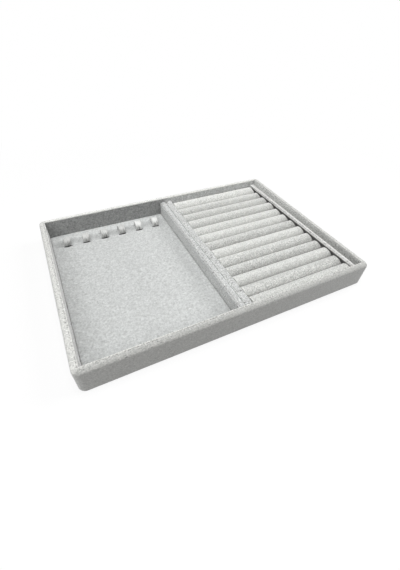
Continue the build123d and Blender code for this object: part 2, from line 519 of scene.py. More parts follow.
def closed_skin(rings: np.ndarray) -> Form:
    """Make a closed form from rings of points.

    Args:
        rings: The rings, in a row.

    Returns:
        The form, with a point at the middle of each end.
    """
    count, around = rings.shape[:2]
    points = np.vstack([rings.reshape(-1, 3), rings[0].mean(axis=0), rings[-1].mean(axis=0)])
    first, last, end = count * around, count * around + 1, (count - 1) * around
    nexts = [(place, (place + 1) % around) for place in range(around)]
    faces = []
    for a in range(0, end, around):
        b = a + around
        faces += [(a + place, a + after, b + after, b + place) for place, after in nexts]
    for place, after in nexts:
        faces += [(first, after, place), (last, end + place, end + after)]
    return Form(points, faces)


def grid(x: np.ndarray, y: np.ndarray, z: np.ndarray) -> np.ndarray:
    """Return a grid of points from coordinates that spread to its rows and places."""
    return np.stack(np.broadcast_arrays(x, y, z), axis=-1).astype(float)


def graded(
    low: float, high: float, rounding: float, step: float, extra: Iterable[float], flat_low: bool
) -> np.ndarray:
    """Return coordinates from low to high that lie close together at rounded ends.

    Args:
        low: The lowest coordinate.
        high: The highest coordinate.
        rounding: Radius of the rounded ends.
        step: Widest distance between two coordinates.
        extra: Coordinates that are wanted besides.
        flat_low: Whether the low end is left square.

    Returns:
        The coordinates in order.
    """
    insets = [rounding * (1 - math.tan(math.radians(angle))) for angle in (45, 30, 15, 0)]
    start = low if flat_low else low + rounding
    count = max(1, math.ceil((high - rounding - start) / step))
    middle = np.linspace(start, high - rounding, count + 1)
    wanted, apart = sorted(extra), 0.3
    clear = [m for m in middle[1:-1] if all(abs(m - w) > apart for w in wanted)]
    values = [middle[0], *clear, middle[-1], *wanted, *[high - inset for inset in insets]]
    values += [] if flat_low else [low + inset for inset in insets]
    return np.unique(np.round(values, 4))


def soft_block(
    low: np.ndarray,
    high: np.ndarray,
    rounding: float,
    step: float,
    thickness: float | None = None,
    extra: Sequence[Iterable[float]] = ((), (), ()),
    drop: Callable[[np.ndarray], bool] = lambda middle: False,
) -> Form:
    """Make a block with rounded edges, or a cloth cover of that outer form with an open underside.

    Args:
        low: The lowest corner.
        high: The highest corner.
        rounding: Radius of the edges.
        step: Widest distance between two points.
        thickness: Thickness of the cloth, or none for a whole block.
        extra: Coordinates that the points must have, along each axis.
        drop: Says of a face's middle whether the face is left out.

    Returns:
        A closed form.
    """
    cover = thickness is not None
    axes = [graded(low[a], high[a], rounding, step, extra[a], cover and a == 2) for a in range(3)]
    keys: dict[tuple[int, int, int], int] = {}
    faces = []

    def places(found: Iterable[tuple[int, int, int]]) -> np.ndarray:
        """Return the coordinates of lattice corners."""
        return np.array([[axes[a][key[a]] for a in range(3)] for key in found])

    for axis, last in product(range(3), (False, True)):
        if cover and axis == 2 and not last:
            continue
        across, along = (axis + 1) % 3, (axis + 2) % 3
        for i, j in product(range(len(axes[across]) - 1), range(len(axes[along]) - 1)):
            loop = []
            for di, dj in ((0, 0), (1, 0), (1, 1), (0, 1)):
                key = [len(axes[axis]) - 1 if last else 0] * 3
                key[across], key[along] = i + di, j + dj
                loop.append(tuple(key))
            if not drop(places(loop).mean(axis=0)):
                face = tuple(keys.setdefault(key, len(keys)) for key in loop)
                faces.append(face if last else face[::-1])
    sharp = places(keys)

    def held(inset: float) -> np.ndarray:
        """Hold the points back from the block's sides, apart from an open underside.

        Args:
            inset: How far inside the sides they stay.

        Returns:
            The points.
        """
        inner_low = low + inset
        if cover:
            inner_low[2] = low[2]
        return np.clip(sharp, inner_low, high - inset)

    core = held(rounding)
    way = sharp - core
    way /= np.linalg.norm(way, axis=1)[:, None]
    outer = Form(core + rounding * way, faces)
    crease = 0.08  # radius that is left of an edge on the inner side
    return closed_shell(outer, held(thickness + crease) + crease * way) if cover else outer


@dataclass
class Track:
    """A cloth's section: pairs of an outer point and the inner point under it."""

    thickness: float
    step: float = 2.5
    crease: float = 0.06  # least radius on the inner side
    pairs: list[np.ndarray] = field(default_factory=list)

    def to(self, outer: Sequence[float], inner: Sequence[float]) -> "Track":
        """Run straight to a pair of points, with pairs on the way.

        Args:
            outer: The outer point.
            inner: The inner point.

        Returns:
            The track.
        """
        pair = np.array((outer, inner), float)
        if self.pairs:
            start = self.pairs[-1]
            count = math.ceil(np.linalg.norm(pair[0] - start[0]) / self.step)
            self.pairs += [start + share * (pair - start) for share in np.linspace(0, 1, count + 1)[1:-1]]
        self.pairs.append(pair)
        return self

    def round(
        self, corner: Sequence[float], first: Sequence[float], second: Sequence[float], radius: float
    ) -> "Track":
        """Run round an outer corner.

        Args:
            corner: The corner before it is rounded.
            first: The direction that the cloth faces before the corner.
            second: The direction that it faces after the corner.
            radius: The outer radius.

        Returns:
            The track.
        """
        corner, first, second = (np.array(v, float) for v in (corner, first, second))
        outer_centre = corner - radius * (first + second)
        inner_radius = max(radius - self.thickness, self.crease)
        inner_centre = corner - (self.thickness + inner_radius) * (first + second)
        for angle in np.linspace(0, math.pi / 2, 7):
            way = first * math.cos(angle) + second * math.sin(angle)
            pair = np.array((outer_centre + radius * way, inner_centre + inner_radius * way))
            if angle == 0:
                self.to(*pair)
            else:
                self.pairs.append(pair)
        return self

    def curl(self, corner: Sequence[float], radius: float, side: float, under: float) -> "Track":
        """Start or end at the cloth's cut edge, rolled over a little.

        Args:
            corner: The top corner of the cut edge before it is rolled over.
            radius: Radius of the roll.
            side: 1 where the cloth's face ends towards growing first coordinates, or -1.
            under: Height of the cloth's underside.

        Returns:
            The track.
        """
        angles = np.radians(np.linspace(90, 10, 4))
        for angle in angles if self.pairs else reversed(angles):
            across = corner[0] - side * radius * (1 - math.cos(angle))
            self.to((across, corner[1] - radius * (1 - math.sin(angle))), (across, under))
        return self

    def sections(self) -> np.ndarray:
        """Return the outer and the inner points."""
        return np.array(self.pairs).swapaxes(0, 1)


def along_depth(track: Track, half_depth: float, step: float) -> Form:
    """Run a cloth's section from front to back.

    Args:
        track: The section, in X and Z.
        half_depth: Half the length of the run.
        step: Widest distance between two rows.

    Returns:
        The cloth.
    """
    rows = np.linspace(-half_depth, half_depth, math.ceil(2 * half_depth / step) + 1)
    grids = [grid(section[:, 0], rows[:, None], section[:, 1]) for section in track.sections()]
    return strip_shell(*grids, ring=False)


def end_fold(
    points: np.ndarray, end: float, middle: float, width: float, height: float, reach: float, base: float
) -> np.ndarray:
    """Raise the top of a covered board where its velvet is folded over the end.

    Args:
        points: The points to move.
        end: Y of the board's end.
        middle: X of the fold's highest place.
        width: How far the fold reaches to each side.
        height: How high it stands.
        reach: How far it runs along the board.
        base: Height below which nothing moves.

    Returns:
        The points.
    """
    x, y, z = points.T
    full = 3.0  # height above the base from which the whole fold moves
    z += height * hump(y, end, reach) * hump(x, middle, width) * ramp(z, base, base + full)
    return points


@dataclass(frozen=True)
class EndFolds:
    """The velvet folded over both ends of a covered board, which stands higher at the back."""

    height: float
    front_share: float  # height of the front fold, as a share
    shifts: Span  # how far right of the board's middle the back and the front fold stand
    widths: Span
    reach: float = 4.5
    depth: float = 4.0  # how far below the top the velvet is raised

    def raised(self, points: np.ndarray, corners: Corners) -> np.ndarray:
        """Raise both folds.

        Args:
            points: The points to move.
            corners: The lowest and the highest corner of the covered board.

        Returns:
            The points.
        """
        low, high = corners
        middle, base = (low[0] + high[0]) / 2, high[2] - self.depth
        ends = zip((high[1], low[1]), (1.0, self.front_share), self.shifts, self.widths)
        for end, share, shift, width in ends:
            points = end_fold(points, end, middle + shift, width, share * self.height, self.reach, base)
        return points


def settle(
    piece: bpy.types.Object, material: bpy.types.Material, body: str, node: str
) -> None:
    """Finish a piece.

    Args:
        piece: The piece, in its place.
        material: Its finish.
        body: The body that it moves with.
        node: The CAD node that it stands for.
    """
    piece.data.materials.append(material)
    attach(piece, body)
    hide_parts(node)
    report.info("%s: %d faces, on %s", piece.name, len(piece.data.polygons), body)


# The tray's own pieces


@dataclass
class OuterWrap:
    """The velvet over the outer faces and the rim, with its edges turned in under the base."""

    corner_radius: float = 8.0
    least_radius: float = 0.3  # of the inner corners
    rim_round: float = 3.6
    foot_round: float = 0.8
    velvet: float = 1.1
    wall: float = 7.3
    turn_in: float = 14.0
    lip_rows: tuple[float, ...] = (2.4, 1.4, 0.9)  # rows of points ahead of the lip
    lip_roll: float = 0.5
    lip_reach: float = 0.6  # how far from the lip's edge the cloth wanders
    lip_wander: Span = (0.16, 7.0)  # how far it wanders, and the length of the waves
    bead: float = 0.45  # width of the raised bead along the lip
    bead_rise: float = 0.7
    bead_highlight: float = 0.34  # painted highlight: how much lighter it is
    crease: float = 1.3  # width of the crease outside it
    front_shade: float = 0.20  # how much darker the rim's front side is
    front_reach: Span = (5.5, 3.5)  # where its shade starts and is full, from the outer face
    front_rise: float = 1.5  # height over which it starts
    blend: float = 2.0  # half the width over which the sides' painted lights blend at the corners
    corner_steps: int = 10
    step: float = 2.4
    swell: Span = (0.12, 26.0)
    node: str = "tray_outer_wrap"
    painted_lights: tuple[float, float, float, float] = (0.95, 1.04, 1.42, 1.17)  # painted light of the front, right, back and left sides
    finish: Velvet = Velvet(
        "rim_velvet", (0.60, 0.602, 0.580), Nap.CRUSHED, patch_size=11.0, patch_gain=0.06,
        crushed_share=0.6, fleck_size=1.5, fleck_gain=0.40, glint_gain=0.16, fleck_sides=0.2,
        grain_size=1.8, grain_gain=0.70, rounding_highlight_gain=0.0, crease_shade_gain=0.4, upright_tone=0.80, sheen=1.0,
    )

    def section(self, low: float, high: float) -> Track:
        """Draw the section from the hem's edge round to the lip.

        Args:
            low: Height of the underside.
            high: Height of the rim.

        Returns:
            The section, as inset and height.
        """
        under = high - self.velvet
        hem = self.velvet + self.turn_in
        out, up, down = (-1, 0), (0, 1), (0, -1)
        track = Track(self.velvet).to((hem, low), (hem, low + self.velvet))
        track.round((0, low), down, out, self.foot_round)
        track.round((0, high), out, up, self.rim_round)
        for ahead in self.lip_rows:
            track.to((self.wall - ahead, high), (self.wall - ahead, under))
        return track.curl((self.wall, high), self.lip_roll, 1, under)

    def stations(self, half_length: float, half_depth: float) -> np.ndarray:
        """Place stations round the plan.

        Args:
            half_length: Half the tray's length.
            half_depth: Half its depth.

        Returns:
            For each station, its shares of the half sizes and the direction that it faces.
        """
        corners = ((1, -1, -90), (1, 1, 0), (-1, 1, 90), (-1, -1, 180))
        found = []
        for (u, v, angle), (next_u, next_v, _) in zip(corners, corners[1:] + corners[:1]):
            turns = np.linspace(0, 90, self.corner_steps + 1)
            found += [(u, v, math.radians(angle + turn)) for turn in turns]
            length = half_length if next_u != u else half_depth
            count = math.ceil(2 * (length - self.corner_radius) / self.step)
            for share in np.linspace(0, 1, count + 1)[1:-1]:
                place = (u + share * (next_u - u), v + share * (next_v - v))
                found.append((*place, math.radians(angle + 90)))
        return np.array(found)

    def form(self) -> Form:
        """Sweep the section round the plan.

        Returns:
            The wrap's form.
        """
        low, high = box_of(self.node)
        u, v, angle = self.stations(high[0], high[1]).T[:, :, None]
        grids = []
        for section in self.section(low[2], high[2]).sections():
            inset, height = section.T
            radius = np.maximum(self.corner_radius - inset, self.least_radius)
            x = u * (high[0] - inset - radius) + np.cos(angle) * radius
            y = v * (high[1] - inset - radius) + np.sin(angle) * radius
            grids.append(grid(x, y, height))
        return strip_shell(*grids, ring=True).shaped(self.lip_edge)

    def inward(self, points: np.ndarray) -> np.ndarray:
        """Return how far each point lies inside the short and the long outer faces."""
        return box_of(self.node)[1][:2] - np.abs(points[:, :2])

    def above(self, points: np.ndarray, layers: float) -> np.ndarray:
        """Say which points lie less than some layers of velvet below the top of the rim."""
        return points[:, 2] > box_of(self.node)[1][2] - layers * self.velvet

    def lip_edge(self, points: np.ndarray) -> np.ndarray:
        """Let the lip wander a little in plan, as cloth glued over a board does, and raise its bead.

        Args:
            points: The points to move.

        Returns:
            The points.
        """
        near = np.abs(points[:, :2]) - (box_of(self.node)[1][:2] - self.wall)
        lip = (near.max(axis=1) < self.lip_reach) & self.above(points, 1.5)
        raised = lip & self.above(points, 0.5) & (near.max(axis=1) < self.bead)
        way, length = self.lip_wander
        for index in np.flatnonzero(lip):
            x, y, _ = points[index]
            axis = 0 if near[index, 0] > near[index, 1] else 1
            shift = way * unevenness((x, y, 0.0), length)
            points[index, axis] -= math.copysign(shift, points[index, axis])
        points[:, 2] += self.bead_rise * raised
        return points

    def painted_light(self, points: np.ndarray) -> np.ndarray:
        """Give the painted light on each of the four sides, with a painted highlight on the lip's bead and
        painted shade on the rim's front side.

        Args:
            points: The points.

        Returns:
            Their tones.
        """
        x, y, z = points.T
        top = box_of(self.node)[1][2]
        front, right, back, left = self.painted_lights
        across, deep = self.inward(points).T
        short = ramp(deep - across, -self.blend, self.blend)
        long_side, short_side = np.where(y < 0, front, back), np.where(x < 0, left, right)
        lip = ramp(self.wall - np.minimum(across, deep), 2 * self.bead, self.bead)
        tone = long_side + (short_side - long_side) * short
        tone *= 1 + self.bead_highlight * lip * self.above(points, 2)
        rise = ramp(z, top - self.rim_round, top - self.rim_round + self.front_rise)
        ahead = ramp(deep, *self.front_reach) * (y < 0) * rise
        return tone * (1 - self.front_shade * ahead * (1 - short))

    def edge(self, points: np.ndarray) -> np.ndarray:
        """Find the crease just outside the lip, where dotted shade is painted.

        Args:
            points: The points.

        Returns:
            1 in the crease, and 0 at its sides.
        """
        middle = self.wall - self.crease
        off = np.abs(self.inward(points).min(axis=1) - middle)
        return ramp(off, self.crease, 0) * self.above(points, 2)

    def build(self) -> None:
        """Make and dress the wrap."""
        piece = self.form().to_object("outer_wrap", self.swell, self.painted_light, self.edge)
        settle(piece, self.finish.material(), TRAY, self.node)


@dataclass
class WallLinings:
    """The four velvet linings of the inner wall faces."""

    edge_round: float = 0.35
    step: float = 3.0
    swell: Span = (0.08, 24.0)
    columns: tuple[float, ...] = (3.0, 1.5, 0.75, 0.0)  # rows of points left of the divider's corner
    # Painted shade and light on the back and right linings
    corner_shade: float = 0.75  # how dark that corner is
    corner_line: Span = (0.2, 0.6)  # how far left of the divider its shade lies, and its width
    back_painted_lights: Span = (0.73, 1.24)  # painted light, left and right of the divider
    back_change: Span = (0.0, 8.0)  # where the painted light turns from one to the other
    back_end: Span = (100.0, 150.0)  # where it gets lighter still
    back_end_light: float = 0.1
    right_painted_lights: Span = (0.80, 1.12)  # painted light, down at the insert and along the top
    right_rise: Span = (3.6, 0.4)  # where the tone changes, down from the top
    right_slope: Span = (1.03, 0.24)  # its tone at the middle, and how much it grows to the back
    right_corner: Span = (14.0, 0.15)  # length of the shade at the back corner, and its depth
    # The four linings are one velvet: their colours paint the light and shade that each side gets
    front: Velvet = Velvet("front_lining_velvet", (0.46, 0.47, 0.46))
    back: Velvet = Velvet(
        "back_lining_velvet", (0.40, 0.405, 0.40), patch_gain=0.08, glint_gain=0.30, fleck_gain=0.16,
        fleck_sides=1.0, grain_gain=0.85,
    )
    left: Velvet = Velvet(
        "left_lining_velvet", (0.635, 0.63, 0.62), patch_gain=0.2, fleck_sides=0.8, grain_size=1.8,
        grain_gain=1.4,
    )
    right: Velvet = replace(left, name="right_lining_velvet", colour=(0.55, 0.555, 0.54))

    def build(self) -> None:
        """Make and dress the linings."""
        corner, _ = box_of("divider_left_cover")
        columns = tuple(corner[0] - ahead for ahead in self.columns)
        finishes = {"front": self.front, "back": self.back, "left": self.left, "right": self.right}
        painted_lights = {"back": self.back_painted_light, "right": self.right_painted_light}
        for side, finish in finishes.items():
            node = f"{side}_wall_lining"
            extra = (columns if side == "back" else (), (), ())
            form = soft_block(*box_of(node), self.edge_round, self.step, extra=extra)
            piece = form.to_object(f"{side}_lining", self.swell, painted_lights.get(side, even))
            settle(piece, finish.material(), TRAY, node)

    def right_painted_light(self, points: np.ndarray) -> np.ndarray:
        """Give the right lining's painted light, which is darker down at the insert and lighter to the
        back, with painted shade at the back corner.

        Args:
            points: The points.

        Returns:
            Their tones.
        """
        _, y, z = points.T
        _, (_, back, top) = box_of("right_wall_lining")
        low, high = self.right_painted_lights
        start, full = self.right_rise
        middle, growth = self.right_slope
        length, shade = self.right_corner
        tone = low + (high - low) * ramp(z, top - start, top - full)
        return tone * (middle + growth * y / back) * (1 - shade * ramp(y, back - length, back))

    def back_painted_light(self, points: np.ndarray) -> np.ndarray:
        """Give the back lining's painted light, which is lighter to the right of the divider and near the
        right end, with painted shade in the divider's corner.

        Args:
            points: The points.

        Returns:
            Their tones.
        """
        x, _, z = points.T
        corner, top = box_of("divider_left_cover")
        left, right = self.back_painted_lights
        tone = left + (right - left) * ramp(x, *self.back_change)
        tone *= 1 + self.back_end_light * ramp(x, *self.back_end)
        ahead, width = self.corner_line
        return tone * (1 - self.corner_shade * hump(x, corner[0] - ahead, width) * (z < top[2]))


@dataclass
class Divider:
    """The divider's two velvet covers, which meet in a seam along the top."""

    velvet: float = 1.1
    edge_round: float = 0.9
    seam_roll: float = 0.35
    folds: EndFolds = EndFolds(2.6, 0.5, (-0.3, 0.3), (4.2, 4.2))
    left_tone: float = 0.80
    left_flecks: float = 0.9
    step: float = 2.4
    swell: Span = (0.14, 16.0)
    finish: Velvet = Velvet(
        "divider_velvet", (0.612, 0.62, 0.612), Nap.CRUSHED, patch_size=7.0, patch_gain=0.2,
        crushed_share=0.6, fleck_size=2.3, fleck_gain=0.58, glint_gain=0.15, grain_size=1.5,
        grain_gain=1.1, rounding_highlight_gain=0.06, upright_tone=0.87,
    )

    def build(self) -> None:
        """Make and dress both covers."""
        upright = self.finish.upright_tone / self.left_tone
        pressed = self.finish.tinted(
            "divider_left_velvet", self.left_tone, upright_tone=upright, fleck_sides=self.left_flecks
        )
        self.cover("divider_left_cover", -1, pressed)
        self.cover("divider_right_cover", 1, self.finish)

    def cover(self, node: str, side: int, finish: Velvet) -> None:
        """Make one cover.

        Args:
            node: The CAD node that it stands for.
            side: -1 for the left cover, or 1.
            finish: The cover's finish.
        """
        low, high = box_of(node)
        flank, seam = (low[0], high[0]) if side < 0 else (high[0], low[0])
        top, foot = high[2], low[2]
        hem = (flank, foot), (flank - side * self.velvet, foot)
        edge = (seam, top), self.seam_roll, -side, top - self.velvet
        track = Track(self.velvet)
        if side < 0:
            track.to(*hem).round((flank, top), (-1, 0), (0, 1), self.edge_round).curl(*edge)
        else:
            track.curl(*edge).round((flank, top), (0, 1), (1, 0), self.edge_round).to(*hem)
        corners = box_of("divider_left_cover")[0], box_of("divider_right_cover")[1]
        form = along_depth(track, high[1], self.step).shaped(partial(self.folds.raised, corners=corners))
        piece = form.to_object(node.replace("_cover", "_velvet"), self.swell)
        settle(piece, finish.material(), TRAY, node)


@dataclass
class Bottom:
    """The boards and the bottom sheets, which are kept from the frame and get their finishes."""

    board: Board = Board("pulp_board", (0.36, 0.33, 0.29))
    # Near black, which paints the shade in the gaps where the pad board and the insert's base show
    shade_board: Board = Board("shade_board", (0.035, 0.034, 0.033))
    sheet: Board = Board("flocked_sheet", (0.52, 0.52, 0.51), fibre_size=0.8, fibre_gain=0.10)
    boards: tuple[str, ...] = (
        "tray_bottom_filler", "tray_base_board", "front_wall_board", "back_wall_board",
        "left_wall_board", "right_wall_board", "divider_board", "ring_insert_left_board",
        "ring_insert_right_board",
    )
    shade_boards: tuple[str, ...] = ("necklace_pad_board", "ring_insert_base")
    sheets: tuple[str, ...] = ("tray_bottom_cover", "necklace_pad_backing")

    def build(self) -> None:
        """Dress the kept nodes."""
        finishes = (self.board, self.shade_board, self.sheet)
        for finish, names in zip(finishes, (self.boards, self.shade_boards, self.sheets)):
            material = finish.material()
            for name in names:
                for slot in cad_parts[name].material_slots:
                    slot.material = material
            report.info("%s: %d nodes kept", finish.name, len(names))


# The necklace pad


@dataclass
class NecklacePad:
    """The pad's velvet cover, with a pair of slits for each strap."""

    velvet: float = 1.1
    edge_round: float = 0.5
    slit_width: float = 11.2
    slit_opening: float = 1.4  # how far the front slit gapes ahead of its strap
    back_opening: float = 0.3  # how far the back slit gapes behind it
    back_inset: float = 1.2  # how much shorter the back slit is at each end
    slit_depth: float = 0.95
    slit_parts: tuple[int, int] = (9, 4)  # points along a slit and across it
    front_rows: tuple[float, ...] = (0.7, 1.4, 2.2, 3.2)  # rows of points ahead of the front slits
    dimple: float = 0.45  # how far the velvet is drawn down at a slit
    dimple_reach: float = 1.6
    dimple_foot: float = 4.0  # height below which the velvet stays
    front_bow: float = 1.2  # how far a front slit's edge bows out
    bow_reach: float = 4.0
    bow_rest: float = 0.45  # share of the bow at which the edge stays in its place
    # Painted light and shade on the pad, as tones and gains
    base_tone: float = 0.975
    right_light: Triple = (-75.0, -40.0, 0.065)  # start and end in X, and gain
    back_light: Triple = (96.0, 104.0, 0.10)  # start and end in Y, and gain
    back_loss: float = 0.05  # how much less it is where the right side is light
    foot_light: Triple = (111.0, 115.0, 0.05)  # start and end in Y, and gain
    left_shade: Span = (7.0, 0.06)  # its width and depth along the left wall
    left_fade: Span = (40.0, -20.0)  # where it starts and is full, in Y
    step: float = 3.0
    swell: Span = (0.16, 30.0)
    node: str = "necklace_pad_cover"
    finish: Velvet = Velvet(
        "pad_velvet", (0.592, 0.605, 0.598), patch_size=15.0, patch_gain=0.06, crushed_share=0.4,
        fleck_size=2.8, fleck_gain=0.14, glint_gain=0.08, grain_gain=0.58,
    )

    def slits(self) -> list[tuple[float, float, float, float]]:
        """Place the slits.

        Returns:
            Each slit's limits in X and Y, in pairs of a front and a back slit.
        """
        found = []
        for number in StrapLoops.numbers:
            low, high = box_of(StrapLoops.node(number))
            left, right = ((low[0] + high[0] + way * self.slit_width) / 2 for way in (-1, 1))
            front, back = StrapLoops.leg_faces(number)
            found.append((left, right, front - self.slit_opening, front + self.slit_depth))
            inner = left + self.back_inset, right - self.back_inset
            found.append((*inner, back - self.slit_depth, back + self.back_opening))
        return found

    def form(self) -> Form:
        """Make the cover and leave out its slits.

        Returns:
            The cover's form.
        """
        low, high = box_of(self.node)
        slits = self.slits()
        along, across = self.slit_parts
        columns = {round(x, 3) for s in slits for x in np.linspace(s[0], s[1], along)}
        rows = {round(y, 3) for s in slits[:2] for y in np.linspace(s[2], s[3], across)}
        rows |= {round(slits[0][2] - ahead, 3) for ahead in self.front_rows}

        def in_slit(middle: np.ndarray) -> bool:
            """Say whether a face's middle lies in a slit."""
            x, y, z = middle
            return z > high[2] - TOUCH and any(s[0] < x < s[1] and s[2] < y < s[3] for s in slits)

        extra = (columns, rows, ())
        block = soft_block(low, high, self.edge_round, self.step, self.velvet, extra, in_slit)
        return block.shaped(self.dimples)

    def dimples(self, points: np.ndarray) -> np.ndarray:
        """Draw the velvet down round the slits and bow the front edge of each front slit.

        Args:
            points: The points to move.

        Returns:
            The points.
        """
        x, y, z = points.T
        for left, right, front, back in self.slits():
            dx = np.maximum(np.maximum(left - x, x - right), 0)
            dy = np.maximum(np.maximum(front - y, y - back), 0)
            near = np.exp(-(dx**2 + dy**2) / (2 * self.dimple_reach**2))
            z -= self.dimple * near * (z > self.dimple_foot)
        for left, right, front, _ in self.slits()[::2]:
            share = np.clip(1 - ((2 * x - left - right) / (right - left)) ** 2, 0, 1)
            ahead = ramp(y, front - self.bow_reach, front) * (y <= front + ROUNDING)
            y -= self.front_bow * (share - self.bow_rest) * (share > 0) * ahead
        return points

    def painted_light(self, points: np.ndarray) -> np.ndarray:
        """Give the pad's painted light, which is lighter to the right, behind the straps and at the back,
        with painted shade by the left wall.

        Args:
            points: The points.

        Returns:
            Their tones.
        """
        x, y, _ = points.T
        shade_width, shade = self.left_shade
        start, end, gain = self.right_light
        right = ramp(x, start, end)
        tone = self.base_tone + gain * right
        start, end, gain = self.back_light
        tone += ramp(y, start, end) * (gain - self.back_loss * right)
        start, end, gain = self.foot_light
        tone += gain * ramp(y, start, end)
        return tone - shade * hump(x, box_of(self.node)[0][0], shade_width) * ramp(y, *self.left_fade)

    def build(self) -> None:
        """Make and dress the cover."""
        piece = self.form().to_object("pad_velvet", self.swell, self.painted_light)
        settle(piece, self.finish.material(), PAD, self.node)


def arc(centre: Span, radius: float, start: float, end: float, count: int) -> list[Span]:
    """Return evenly spaced points on an arc.

    Args:
        centre: The arc's centre, in Y and Z.
        radius: Its radius.
        start: The angle at its first point, in degrees from Y towards Z.
        end: The angle at its last point.
        count: The number of points.

    Returns:
        The points.
    """
    angles = np.radians(np.linspace(start, end, count))
    return [(centre[0] + radius * math.cos(a), centre[1] + radius * math.sin(a)) for a in angles]


@dataclass
class StrapLoops:
    """The six velvet straps that come up through the pad in loops."""

    numbers: range = range(1, 7)
    thickness: float = 0.8
    tail: float = 9.0  # length of the tails under the pad
    bend: float = 0.7  # radius at which a leg turns into its tail
    fullness: float = 6.0  # how much the strap is padded towards the inside of its loop
    padding_rise: float = 2.0  # height above the pad from which all of it is there
    edge_power: int = 6  # how square the strap's edges are
    padding_power: int = 4  # how square the padding's sides are
    pleats: int = 5
    pleat_depth: float = 0.2
    pleat_shade: float = 0.16
    edge_shade: float = 0.2
    edge_start: float = 0.8  # share of the half width at which the right edge's shade starts
    crown: float = 4.0  # how far below a loop's top its shade is full
    slit_shade_start: float = 0.5  # painted shade in the slit: how far below the pad's top a strap starts to get lighter upwards
    slit_shade_reach: float = 0.6  # height over which it does
    slit_shade_tone: float = 0.2  # the darkest painted shade in a slit, as a tone
    edge_left: float = 0.01  # square of the share of the thickness that the strap's edges keep
    rows: int = 72
    across: int = 28
    bend_points: int = 5
    crown_points: int = 25
    leans: tuple[float, ...] = (-0.5, -0.3, -0.2, -0.4, 0.3, 0.4)  # of the crowns, to the back
    slants: tuple[float, ...] = (0.9, 0.6, 0.7, 0.4, 0.0, 0.2)  # of the crowns, to the right
    twists: tuple[float, ...] = (-2.0, -3.0, 2.0, 3.0, -2.0, 3.0)  # in degrees
    lifts: tuple[float, ...] = (0.1, -0.5, -0.2, 0.0, 0.3, 0.2)
    tones: tuple[float, ...] = (0.96, 1.02, 1.0, 0.98, 1.27, 1.27)
    swell: Span = (0.12, 4.0)
    finish: Velvet = Velvet(
        "strap_velvet", (0.63, 0.635, 0.62), Nap.STREAKED, patch_size=5.0, patch_gain=0.12,
        crushed_share=0.7, fleck_size=4.2, fleck_gain=0.7, glint_gain=0.2, fleck_sides=1.0,
        fleck_tops=0.1, upright_tone=0.80,
    )

    @staticmethod
    def node(number: int) -> str:
        """Return the name of a loop's CAD node."""
        return f"necklace_loop_{number}"

    @staticmethod
    def pad_top() -> float:
        """Return the height of the pad's velvet."""
        return box_of("necklace_pad_cover")[1][2]

    @staticmethod
    def leg_faces(number: int) -> Span:
        """Return the outer faces of a loop's two legs in Y."""
        low, high = box_of(StrapLoops.node(number))
        return low[1] + StrapLoops.tail, high[1] - StrapLoops.tail

    def centre_line(self, number: int) -> np.ndarray:
        """Draw the line along the middle of a strap's thickness.

        Args:
            number: The loop's number.

        Returns:
            Evenly spaced points, in Y and Z.
        """
        low, high = box_of(self.node(number))
        half, bend = self.thickness / 2, self.bend
        front, back = self.leg_faces(number)
        front, back, bottom = front + half, back - half, low[2] + half
        radius = (back - front) / 2
        first = arc((front - bend, bottom + bend), bend, -90, 0, self.bend_points)
        crown = arc((front + radius, high[2] - half - radius), radius, 180, 0, self.crown_points)
        last = arc((back + bend, bottom + bend), bend, 180, 270, self.bend_points)
        line = np.array([(low[1], bottom), *first, *crown, *last, (high[1], bottom)])
        run = np.concatenate([[0], np.cumsum(np.linalg.norm(np.diff(line, axis=0), axis=1))])
        even_run = np.linspace(0, run[-1], self.rows)
        return np.stack([np.interp(even_run, run, line[:, axis]) for axis in (0, 1)], 1)

    def form(self, number: int) -> Form:
        """Make one loop.

        Args:
            number: The loop's number.

        Returns:
            Its form.
        """
        low, high = box_of(self.node(number))
        line = self.centre_line(number)
        slope = np.gradient(line, axis=0)
        slope /= np.linalg.norm(slope, axis=1)[:, None]
        shares = np.sin(np.linspace(-math.pi / 2, math.pi / 2, self.across + 1))
        square = np.maximum(1 - np.abs(shares) ** self.edge_power, self.edge_left)
        plump = self.thickness / 2 * np.sqrt(square)
        above = ramp(line[:, 1], self.pad_top(), self.pad_top() + self.padding_rise)[:, None]
        padding = above * self.fullness * np.sqrt(np.maximum(1 - shares**self.padding_power, 0))
        pleats = above * self.pleat_depth * np.cos(self.pleats * math.pi * shares)
        x = (low[0] + high[0] + (high[0] - low[0]) * shares) / 2
        y, z, along_y, along_z = (values[:, None] for values in (*line.T, *slope.T))
        reaches = (plump + pleats, -plump - padding)
        grids = [grid(x, y - reach * along_z, z + reach * along_y) for reach in reaches]
        shell = strip_shell(*grids, ring=False).turned_inside_out()
        return shell.shaped(partial(self.leaning, number=number))

    def painted_light(self, points: np.ndarray, number: int) -> np.ndarray:
        """Give a strap's painted shade, which is dark in its slits, between its pleats and on its right
        edge.

        Args:
            points: The points.
            number: The loop's number.

        Returns:
            Their tones.
        """
        x, _, z = points.T
        low, high = box_of(self.node(number))
        start = self.pad_top() - self.slit_shade_start
        slit_shading = np.maximum(ramp(z, start, start + self.slit_shade_reach), self.slit_shade_tone)
        share = np.clip((2 * x - low[0] - high[0]) / (high[0] - low[0]), -1, 1)
        shade = self.pleat_shade * (0.5 - 0.5 * np.cos(self.pleats * math.pi * share))
        shade += self.edge_shade * ramp(share, self.edge_start, 1)
        return slit_shading * (1 - ramp(z, high[2], high[2] - self.crown) * shade)

